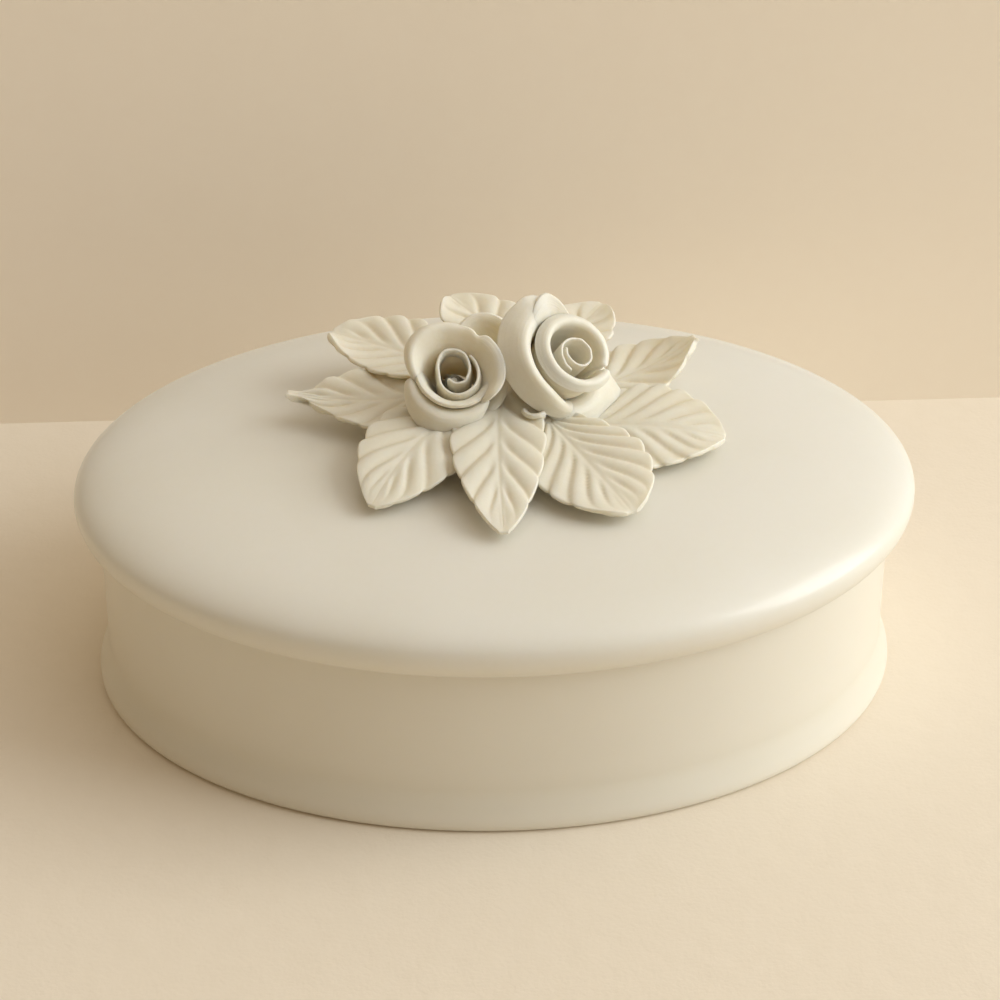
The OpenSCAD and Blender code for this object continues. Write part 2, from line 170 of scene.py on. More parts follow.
def toneGroup():  # slow and quick changes of colour in fired clay
    tree, given, result = newGroup(
        "clayTones",
        [("Vector", "NodeSocketVector", None), ("Light", "NodeSocketColor", (1, 1, 1, 1)),
         ("Dark", "NodeSocketColor", (0.5, 0.5, 0.5, 1)), ("Broad Scale", "NodeSocketFloat", 30.0),
         ("Fine Scale", "NodeSocketFloat", 400.0), ("Fine Share", "NodeSocketFloat", 0.3)],
        [("Color", "NodeSocketColor"), ("Mask", "NodeSocketFloat")])
    vector = given.outputs["Vector"]
    slow = spread(tree, noiseMask(tree, vector, given.outputs["Broad Scale"], 3.0), 0.3, 0.7)
    quick = spread(tree, noiseMask(tree, vector, given.outputs["Fine Scale"], 2.0), 0.3, 0.7)
    both = addNode(tree, "ShaderNodeMix", {0: given.outputs["Fine Share"], 2: slow, 3: quick}).outputs[0]
    colour = mixColours(tree, both, given.outputs["Light"], given.outputs["Dark"])
    tree.links.new(colour, result.inputs["Color"])
    tree.links.new(both, result.inputs["Mask"])
    return tree


def reliefGroup():  # broad waviness of the hand or the mould, and fine grain or glaze ripple
    tree, given, result = newGroup(
        "clayRelief",
        [("Vector", "NodeSocketVector", None), ("Wave Scale", "NodeSocketFloat", 60.0),
         ("Wave Height", "NodeSocketFloat", 0.1), ("Grain Scale", "NodeSocketFloat", 2500.0),
         ("Grain Height", "NodeSocketFloat", 0.01)],
        [("Height", "NodeSocketFloat")])
    vector = given.outputs["Vector"]
    wave = noiseMask(tree, vector, given.outputs["Wave Scale"], 1.5)
    grain = noiseMask(tree, vector, given.outputs["Grain Scale"], 3.0)
    waves = mathNode(tree, "MULTIPLY", wave, given.outputs["Wave Height"])
    grains = mathNode(tree, "MULTIPLY", grain, given.outputs["Grain Height"])
    tree.links.new(mathNode(tree, "ADD", waves, grains), result.inputs["Height"])
    return tree


def speckGroup():  # scattered iron specks and pinholes, one in some of the cells
    tree, given, result = newGroup(
        "kilnSpecks",
        [("Vector", "NodeSocketVector", None), ("Scale", "NodeSocketFloat", 120.0),
         ("Size", "NodeSocketFloat", 0.03), ("Share", "NodeSocketFloat", 0.2)],
        [("Mask", "NodeSocketFloat")])
    cell = addNode(tree, "ShaderNodeTexVoronoi", {
        "Vector": given.outputs["Vector"], "Scale": given.outputs["Scale"]})
    parts = addNode(tree, "ShaderNodeSeparateColor", {0: cell.outputs["Color"]})
    size = mathNode(tree, "MULTIPLY", parts.outputs[1], given.outputs["Size"])
    near = mathNode(tree, "LESS_THAN", cell.outputs["Distance"], size)
    chosen = mathNode(tree, "LESS_THAN", parts.outputs[0], given.outputs["Share"])
    tree.links.new(mathNode(tree, "MULTIPLY", near, chosen), result.inputs["Mask"])
    return tree


groups = {"tones": toneGroup(), "relief": reliefGroup(), "specks": speckGroup()}


def useGroup(tree, name, inputs):
    return addNode(tree, "ShaderNodeGroup", inputs, node_tree=groups[name])


def newMaterial(name):
    material = bpy.data.materials.new(name)
    material.use_nodes = True
    tree = material.node_tree
    shader = tree.nodes["Principled BSDF"]
    place = tree.nodes.new("ShaderNodeTexCoord").outputs["Object"]
    return material, tree, shader, place


def bumpFrom(tree, shader, height, strength, distance):
    inputs = {"Height": height, "Strength": strength, "Distance": distance}
    bump = addNode(tree, "ShaderNodeBump", inputs)
    tree.links.new(bump.outputs[0], shader.inputs["Normal"])


def glowUnder(shader, look):  # light that soaks a little way into the clay
    shader.inputs["Subsurface Weight"].default_value = look["glow"]
    shader.inputs["Subsurface Radius"].default_value = look["glowColour"]
    shader.inputs["Subsurface Scale"].default_value = look["glowDepth"]


glazeFinish = {
    "light": (0.84, 0.815, 0.73, 1), "dark": (0.81, 0.78, 0.68, 1), "footBand": (0.75, 0.71, 0.59, 1),
    # painted shade: the wall colour darkens and warms the base below the lid's rim
    "wall": (0.815, 0.775, 0.665, 1),
    "bare": (0.80, 0.755, 0.66, 1), "speck": (0.20, 0.14, 0.08, 1),
    "gloss": 0.34, "bareRough": 0.62, "coat": 0.35, "coatRough": 0.16, "waveHeight": 0.08,
    "glow": 0.12, "glowDepth": 0.003, "glowColour": (1.0, 0.8, 0.55),
}


def glazedPorcelain():
    look = glazeFinish
    material, tree, shader, place = newMaterial("glazedPorcelain")
    tones = useGroup(tree, "tones", {
        "Vector": place, "Light": look["light"], "Dark": look["dark"], "Broad Scale": 28.0,
        "Fine Scale": 900.0, "Fine Share": 0.15})
    axes = addNode(tree, "ShaderNodeSeparateXYZ", {0: place})
    z = axes.outputs[2]
    # a band a little above the foot is darker and warmer
    foot = mathNode(tree, "MULTIPLY", spread(tree, z, 2 * mm, 5 * mm), spread(tree, z, 12 * mm, 6 * mm))
    # painted shade: the base below the lid's rim takes the darker, warmer wall colour
    below = mathNode(tree, "MULTIPLY", spread(tree, z, mouthHeight + 4 * mm, mouthHeight - 1 * mm), 0.7)
    underRimShaded = mixColours(tree, below, tones.outputs["Color"], look["wall"])
    footBanded = mixColours(tree, mathNode(tree, "MULTIPLY", foot, 0.45), underRimShaded, look["footBand"])
    # bare clay where the foot stands and where the lid meets the mouth
    ragged = noiseMask(tree, place, 900.0, 2.0)
    wander = mathNode(tree, "MULTIPLY", ragged, 0.5 * mm)
    footEdge = mathNode(tree, "LESS_THAN", mathNode(tree, "ADD", z, wander), 0.5 * mm)
    seatGap = mathNode(tree, "ABSOLUTE", mathNode(tree, "SUBTRACT", z, mouthHeight))
    seatEdge = mathNode(tree, "LESS_THAN", mathNode(tree, "ADD", seatGap, wander), 0.4 * mm)
    bare = mathNode(tree, "MAXIMUM", footEdge, seatEdge)
    coated = mixColours(tree, bare, footBanded, look["bare"])
    specks = useGroup(tree, "specks", {"Vector": place, "Scale": 95.0, "Size": 0.035, "Share": 0.12})
    colour = mixColours(tree, mathNode(tree, "MULTIPLY", specks.outputs[0], 0.55), coated, look["speck"])
    tree.links.new(colour, shader.inputs["Base Color"])
    shine = noiseMask(tree, place, 55.0, 4.0)
    gloss = spread(tree, shine, 0.3, 0.7, look["gloss"] - 0.03, look["gloss"] + 0.05)
    rough = addNode(tree, "ShaderNodeMix", {0: bare, 2: gloss, 3: look["bareRough"]}).outputs[0]
    tree.links.new(rough, shader.inputs["Roughness"])
    tree.links.new(addNode(tree, "ShaderNodeMix", {0: bare, 2: look["coat"], 3: 0.0}).outputs[0],
                   shader.inputs["Coat Weight"])
    shader.inputs["Coat Roughness"].default_value = look["coatRough"]
    glowUnder(shader, look)
    relief = useGroup(tree, "relief", {
        "Vector": place, "Wave Scale": 45.0, "Wave Height": look["waveHeight"], "Grain Scale": 1700.0,
        "Grain Height": 0.0035})
    bumpFrom(tree, shader, relief.outputs[0], 0.5, 1 * mm)
    return material


clayFinish = {
    # the hollow colour is painted shade: darker, warmer clay in creases and recesses
    "light": (0.83, 0.79, 0.675, 1), "dark": (0.78, 0.73, 0.60, 1), "hollow": (0.72, 0.63, 0.46, 1),
    "rough": 0.42, "shine": 0.45, "grain": 0.02,
    "glow": 0.45, "glowDepth": 0.003, "glowColour": (1.0, 0.8, 0.55),
}


def satinClay(name, streaks=0.0, creviceShadeShare=0.6):
    look = clayFinish
    material, tree, shader, place = newMaterial(name)
    tones = useGroup(tree, "tones", {
        "Vector": place, "Light": look["light"], "Dark": look["dark"], "Broad Scale": 110.0,
        "Fine Scale": 1500.0, "Fine Share": 0.25})
    # painted shade in creases and recesses, weighted by the hollow attribute
    hollow = addNode(tree, "ShaderNodeAttribute", {}, attribute_name="hollow").outputs["Fac"]
    share = mathNode(tree, "MULTIPLY", hollow, creviceShadeShare, clamp=True)
    colour = mixColours(tree, share, tones.outputs["Color"], look["hollow"])
    tree.links.new(colour, shader.inputs["Base Color"])
    rough = spread(tree, tones.outputs["Mask"], 0.0, 1.0, look["rough"] - 0.05, look["rough"] + 0.06)
    tree.links.new(rough, shader.inputs["Roughness"])
    shader.inputs["Specular IOR Level"].default_value = look["shine"]
    glowUnder(shader, look)
    relief = useGroup(tree, "relief", {
        "Vector": place, "Wave Scale": 260.0, "Wave Height": 0.12, "Grain Scale": 3200.0,
        "Grain Height": look["grain"]})
    height = relief.outputs[0]
    if streaks:  # drag marks of the fingers, lengthwise on the piece's own map
        flat = tree.nodes.new("ShaderNodeUVMap").outputs[0]
        stretched = addNode(tree, "ShaderNodeMapping", {0: flat, 3: (0.5, 14.0, 1.0)}).outputs[0]
        drag = noiseMask(tree, stretched, 1.0, 3.0)
        height = mathNode(tree, "ADD", height, mathNode(tree, "MULTIPLY", drag, streaks))
    bumpFrom(tree, shader, height, 0.6, 1 * mm)
    return material


glaze = glazedPorcelain()
leafClay = satinClay("leafClay")
petalClay = satinClay("petalClay", streaks=0.16, creviceShadeShare=0.5)
padClay = satinClay("padClay", creviceShadeShare=1.0)
print("materials ready")


# Turned ovals: a circle is drawn up ring by ring, each ring (half length, half width, height).
def turnRings(name, rings, segments):
    first = rings[0]
    piece = addPrimitive(bpy.ops.mesh.primitive_circle_add, name, vertices=segments, radius=1,
                         fill_type="NOTHING", location=(0, 0, first[2]))
    piece.scale = (first[0], first[1], 1)
    bpy.ops.object.transform_apply(location=True, rotation=True, scale=True)
    inEditMode(piece)
    bpy.ops.mesh.edge_face_add()
    bpy.ops.mesh.poke()
    bpy.ops.mesh.select_all(action="DESELECT")
    bpy.ops.mesh.select_non_manifold()
    for before, after in zip(rings, rings[1:]):
        bpy.ops.mesh.extrude_region_move(
            TRANSFORM_OT_translate={"value": (0, 0, after[2] - before[2])})
        bpy.ops.transform.resize(value=(after[0] / before[0], after[1] / before[1], 1),
                                 center_override=(0, 0, after[2]))
    bpy.ops.mesh.edge_face_add()
    bpy.ops.mesh.poke()
    bpy.ops.mesh.select_all(action="SELECT")
    bpy.ops.mesh.normals_make_consistent(inside=False)
    bpy.ops.object.mode_set(mode="OBJECT")
    return piece


def ovalRing(halfLength, ratio, height):
    return (halfLength, halfLength * ratio, height)


def steppedRing(length, width, step, height):  # the same step on both axes
    return (length + step, width + step, height)


def quarterTurn(steps, first=0):  # angles from level to upright
    return [math.pi / 2 * i / steps for i in range(first, steps + 1)]


def domeRings(halfLength, ratio, foot, rise, steps, powers):
    rings = []
    for angle in [0.004, 0.02, 0.05] + quarterTurn(steps, 2):
        reach = math.sin(angle) ** (2 / powers[0])
        level = max(0.0, math.cos(angle)) ** (2 / powers[1])
        rings.append(ovalRing(halfLength * reach, ratio, foot + rise * level))
    return rings


lidShape = {
    "rimDrop": 4.2 * mm, "rimRound": 4.7 * mm, "powers": (2.6, 2.455), "domeSteps": 44, "rimSteps": 14,
    "wall": 3 * mm, "clearance": 0.8 * mm, "flangeWall": 2.8 * mm, "softEdge": 0.8 * mm, "segments": 224,
}
baseShape = {
    "flare": 1.8 * mm, "flareTop": 8 * mm, "footRound": 1.6 * mm, "footRing": 4.6 * mm, "recess": 1.6 * mm,
    "recessEdge": 0.3 * mm, "flareRings": 14,
    "wall": 3.2 * mm, "floor": 3.6 * mm, "fillet": 6 * mm, "lip": 0.8 * mm, "segments": 224,
}
widestHeight = mouthHeight + lidShape["rimDrop"]
lidRise = lidHigh.z - widestHeight
footRatio = baseHigh.y / baseHigh.x
wallLength = baseHigh.x - baseShape["flare"]
wallWidth = wallLength * footRatio
wellLength = wallLength - baseShape["wall"]
wellWidth = wallWidth - baseShape["wall"]


def domeHeight(x, y):  # height of the lid's outside anywhere on it
    reach = min(1.0, math.hypot(x / lidHigh.x, y / lidHigh.y))
    powers = lidShape["powers"]
    return widestHeight + lidRise * (1 - reach ** powers[0]) ** (1 / powers[1])


def buildLid():
    s = lidShape
    ratio = lidHigh.y / lidHigh.x
    rings = domeRings(lidHigh.x, ratio, widestHeight, lidRise, s["domeSteps"], s["powers"])
    for angle in quarterTurn(s["rimSteps"], 1):
        inward = s["rimRound"] * (1 - math.cos(angle))
        rings.append(ovalRing(lidHigh.x - inward, ratio, widestHeight - s["rimDrop"] * math.sin(angle)))
    flangeLength, flangeWidth = wellLength - s["clearance"], wellWidth - s["clearance"]
    edge = s["softEdge"]
    rings.append(steppedRing(flangeLength, flangeWidth, edge, mouthHeight))
    for angle in quarterTurn(5, 1):  # hollow corner into the flange
        step = edge * (1 - math.sin(angle))
        height = mouthHeight - edge * (1 - math.cos(angle))
        rings.append(steppedRing(flangeLength, flangeWidth, step, height))
    for angle in quarterTurn(5):  # outer lower edge of the flange
        step = edge * (1 - math.cos(angle))
        height = lidLow.z + edge * (1 - math.sin(angle))
        rings.append(steppedRing(flangeLength, flangeWidth, -step, height))
    insideLength, insideWidth = flangeLength - s["flangeWall"], flangeWidth - s["flangeWall"]
    for angle in quarterTurn(5):  # its inner lower edge
        step = edge * (1 - math.sin(angle))
        height = lidLow.z + edge * (1 - math.cos(angle))
        rings.append(steppedRing(insideLength, insideWidth, step, height))
    hollow = domeRings(insideLength, insideWidth / insideLength, mouthHeight,
                       lidHigh.z - s["wall"] - mouthHeight, s["domeSteps"], s["powers"])
    rings += hollow[::-1]
    piece = turnRings("glazedLid", rings, s["segments"])
    finishPiece(piece, "lid", "glazed_porcelain", glaze, "lid")


def buildBase():
    s = baseShape
    recess = baseHigh.x - s["footRound"] - s["footRing"]
    recessWidth = baseHigh.y - s["footRound"] - s["footRing"]
    rings = [(recess * t, recessWidth * t, s["recess"]) for t in (0.02, 0.2, 0.5, 0.8, 0.95)]
    corner = s["recess"] * 0.75
    for angle in quarterTurn(5):  # rounded corner of the recess
        step = corner * (1 - math.sin(angle))
        rings.append(steppedRing(recess, recessWidth, -step, s["recess"] - corner * (1 - math.cos(angle))))
    rings.append(steppedRing(recess, recessWidth, s["recessEdge"], 0.0))
    for angle in quarterTurn(8):  # outer lower edge of the foot
        rings.append(ovalRing(baseHigh.x - s["footRound"] * (1 - math.sin(angle)), footRatio,
                              s["footRound"] * (1 - math.cos(angle))))
    for i in range(1, s["flareRings"] + 1):  # the flare sweeps up into the wall
        t = i / s["flareRings"]
        length = blend(baseHigh.x, wallLength, (1 - math.cos(math.pi * t)) / 2)
        rings.append(ovalRing(length, footRatio, blend(s["footRound"], s["flareTop"], t)))
    lip = s["lip"]
    for t in (0.25, 0.5, 0.75):
        rings.append((wallLength, wallWidth, blend(s["flareTop"], mouthHeight - lip, t)))
    for angle in quarterTurn(6):  # the mouth's outer edge, then its inner edge
        step = lip * (1 - math.cos(angle))
        rings.append(steppedRing(wallLength, wallWidth, -step, mouthHeight - lip * (1 - math.sin(angle))))
    for angle in quarterTurn(6):
        step = lip * (1 - math.sin(angle))
        rings.append(steppedRing(wellLength, wellWidth, step, mouthHeight - lip * (1 - math.cos(angle))))
    wellFloor = s["recess"] + s["floor"]
    for t in (0.3, 0.7):
        rings.append((wellLength, wellWidth, blend(mouthHeight - lip, wellFloor + s["fillet"], t)))
    for angle in quarterTurn(10):  # the fillet round the floor
        step = s["fillet"] * (1 - math.cos(angle))
        height = wellFloor + s["fillet"] * (1 - math.sin(angle))
        rings.append(steppedRing(wellLength, wellWidth, -step, height))
    rings += [(wellLength * t, wellWidth * t, wellFloor) for t in (0.8, 0.6, 0.4, 0.2, 0.02)]
    piece = turnRings("glazedBase", rings, s["segments"])
    finishPiece(piece, "base", "glazed_porcelain", glaze, "base")


buildLid()
buildBase()
print("lid and base ready")


# Rolled-out clay: a flat grid is laid into shape, given its thickness, and rounded.
def shapeSheet(name, rows, columns, place, wall, rimWall, offset):
    piece = addPrimitive(bpy.ops.mesh.primitive_grid_add, name, x_subdivisions=columns,
                         y_subdivisions=rows, size=2)
    mesh = piece.data
    group = piece.vertex_groups.new(name="wall")
    creviceShades, spots = [], []
    for vertex in mesh.vertices:
        u, v = vertex.co.x, (vertex.co.y + 1) / 2
        point, hollow, thickness, spot = place(u, v)
        vertex.co = point
        group.add([vertex.index], thickness, "REPLACE")
        creviceShades.append(hollow)
        spots.append(spot)
    # the hollow attribute carries the weight of painted crease shade
    mesh.attributes.new("hollow", "FLOAT", "POINT").data.foreach_set("value", creviceShades)
    flat = mesh.uv_layers.active.data
    for loop in mesh.loops:
        flat[loop.index].uv = spots[loop.vertex_index]
    applyModifier(piece, "SOLIDIFY", thickness=wall, offset=offset, vertex_group="wall",
                  thickness_vertex_group=rimWall)
    applyModifier(piece, "SUBSURF", levels=1, render_levels=1)
    return piece


def spotIn(node, share):  # a place given as shares of a node's box
    low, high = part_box(node)
    return [blend(low[i], high[i], share[i]) for i in range(len(share))]


leafClayWall = {"wall": 1.25 * mm, "rim": 0.55, "rows": 84, "columns": 40}
leafShapes = {
    "leaf_front": {
        "stem": (0.5686, 1.071), "tip": (0.5052, -0.0115), "width": 15.2, "lifts": (7, 5.2, 2.4),
        "slim": 0.6, "belly": 0.38, "bow": -0.4, "cup": 0.3, "tilt": 0, "pleats": 6, "slant": 0.32},
    "leaf_front_left": {
        "stem": (0.8438, 1.014), "tip": (0.0833, 0.0127), "width": 18, "lifts": (6.4, 4.8, 2.3),
        "slim": 0.64, "belly": 0.42, "bow": -1.5, "cup": 0, "tilt": -0.8, "pleats": 6, "slant": 0.42},
    "leaf_left": {
        "stem": (0.9948, 0.4819), "tip": (0.0018, 0.6248), "width": 15, "lifts": (6.8, 4.4, 6),
        "slim": 1.5, "belly": 0.36, "bow": 0.6, "cup": 0.8, "tilt": -1.6, "pleats": 6, "slant": 0.36},
    "leaf_back_left": {
        "stem": (0.9263, 0.1713), "tip": (0.011, 0.8433), "width": 15.5, "lifts": (7.4, 7.6, 9),
        "slim": 0.62, "belly": 0.46, "bow": -0.8, "cup": 1.4, "tilt": -1.2, "pleats": 6, "slant": 0.4},
    "leaf_back": {
        "stem": (0.7168, 0.0869), "tip": (0.1128, 0.977), "width": 14.5, "lifts": (7, 9, 11.8),
        "slim": 0.6, "belly": 0.46, "bow": -1.8, "cup": 0.8, "tilt": -0.8, "pleats": 5, "slant": 0.34},
    "leaf_back_right": {
        "stem": (0.1524, 0.0828), "tip": (0.8952, 0.9687), "width": 14, "lifts": (7, 7.4, 9.8),
        "slim": 0.6, "belly": 0.5, "bow": 0.6, "cup": 0.8, "tilt": 0, "pleats": 5, "slant": 0.34},
    "leaf_right_back": {
        "stem": (0.0209, 0.1277), "tip": (0.9917, 0.749), "width": 14.5, "lifts": (3, 3, 9),
        "slim": 0.95, "belly": 0.5, "bow": 0.6, "cup": 0.8, "tilt": 0.8, "pleats": 6, "slant": 0.36},
    "leaf_right": {
        "stem": (0.0364, 0.6455), "tip": (0.9959, 0.4352), "width": 22, "lifts": (1.6, 3.6, 2.6),
        "slim": 0.66, "belly": 0.46, "bow": 0, "cup": 0.5, "tilt": 1.2, "pleats": 6.5, "slant": 0.45},
    "leaf_front_right": {
        "stem": (0.1866, 1.054), "tip": (0.7622, 0.0236), "width": 18.6, "lifts": (4.4, 4.4, 2.5),
        "slim": 0.56, "belly": 0.56, "bow": -0.5, "cup": 0.4, "tilt": 1, "pleats": 6.5, "slant": 0.48},
}
pleatShape = {"depth": 0.6, "puff": 0.6, "midrib": 0.16, "scallop": 0.055, "curl": 0.5}


def buildLeaf(order, node, shape):
    stem, tip = (Vector(spotIn(node, shape[end])) for end in ("stem", "tip"))
    direction = tip - stem
    across = Vector((-direction.y, direction.x)).normalized()
    stemLift, middleLift, tipLift = shape["lifts"]
    length = direction.length / mm
    swell = math.log(0.5) / math.log(blend(0.08, 1, shape["belly"]))  # widest at the belly

    def place(u, s):
        side = abs(u)
        line = s - shape["slant"] * side ** 0.65  # the pleats run outwards and towards the tip
        turn = (shape["pleats"] * line) % 1
        wave = math.sin(math.pi * turn ** 0.75)  # each pleat is steeper on the side of the stem
        shown = ease(0.02, 0.25, side) * ease(-0.45, -0.3, line) * (1 - ease(0.72, 0.98, s))
        valley = (1 - wave ** 0.7) * shown
        half = shape["width"] / 2 * math.sin(math.pi * blend(0.08, 1, s) ** swell) ** shape["slim"]
        lobes = pleatShape["scallop"] * (wave ** 0.7 - 0.55) * ease(0.75, 1, side) * (1 - ease(0.85, 1, s))
        rough = noise.noise(Vector((s * 5, math.copysign(2, u), order * 7.3)))
        half = max(0.7, half * (1 + lobes * 1.6 + 0.035 * rough * side))
        sideways = (u * half + shape["bow"] * math.sin(math.pi * s)) * mm
        spot = stem + direction * s + across * sideways
        rise = (1 - s) ** 3 * stemLift + 3 * s * (1 - s) * middleLift + s ** 3 * tipLift
        grip = min(1, half / 3)  # a narrow tip stays flat
        rise += grip * (shape["cup"] * u * u + shape["tilt"] * u * math.sin(math.pi * s))
        rise += pleatShape["puff"] * (side * (1 - side) * 4) * 0.5 * math.sin(math.pi * s)
        rise -= pleatShape["depth"] * valley
        rise -= pleatShape["midrib"] * math.exp(-(u / 0.045) ** 2) * (1 - s) ** 0.5
        curl = noise.noise(Vector((s * 3.1, math.copysign(4, u), order * 3.7)))
        rise += pleatShape["curl"] * curl * side ** 3 * grip
        point = Vector((spot.x, spot.y, domeHeight(spot.x, spot.y) + rise * mm))
        rim = max(ease(0.8, 1, side), ease(0.94, 1, s))
        midrib = math.exp(-(u / 0.05) ** 2) * 0.35
        # the second value weights painted shade in the pleat valleys and along the midrib
        return point, max(valley, midrib), 1 - rim, (s * length / 10, u * half / 10)

    wall = leafClayWall
    piece = shapeSheet("clay_" + node, wall["rows"], wall["columns"], place, wall["wall"], wall["rim"], 1)
    finishPiece(piece, "lid", "satin_bisque", leafClay, node)


for order, (node, shape) in enumerate(leafShapes.items()):
    buildLeaf(order, node, shape)
print("leaves ready")


# Roses: each stands on a cone of clay. Angle 0 is the low side, under the open face.
roseShapes = {
    "left": {
        "node": "left_rose_core", "share": (0.5, 0.618, 0.2507), "turn": -93, "lean": 35,
        "cone": (6.4, 3.4)},
    "right": {
        "node": "right_rose_core", "share": (0.434, 0.5415, 0.2637), "turn": -42, "lean": 38,
        "cone": (7.4, 3.8)},
}


def standRose(rose):
    turn = Matrix.Rotation(math.radians(rose["turn"]), 4, "Z")
    lean = Matrix.Rotation(math.radians(rose["lean"]), 4, "Y")
    return Matrix.Translation(spotIn(rose["node"], rose["share"])) @ turn @ lean


def onFoot(foot, stations):  # stations that share one foot
    return [(row[0], *foot, *row[1:]) for row in stations]


def rolledStrip(footHeight, narrowing, edge):  # stations of a strip from its top edge
    return [
        (angle, r * narrowing, footHeight, r * blend(narrowing, 1, 0.4), blend(footHeight, h, 0.4),
         r * blend(narrowing, 1, 0.8), blend(footHeight, h, 0.8), r, h)
        for angle, r, h in edge]


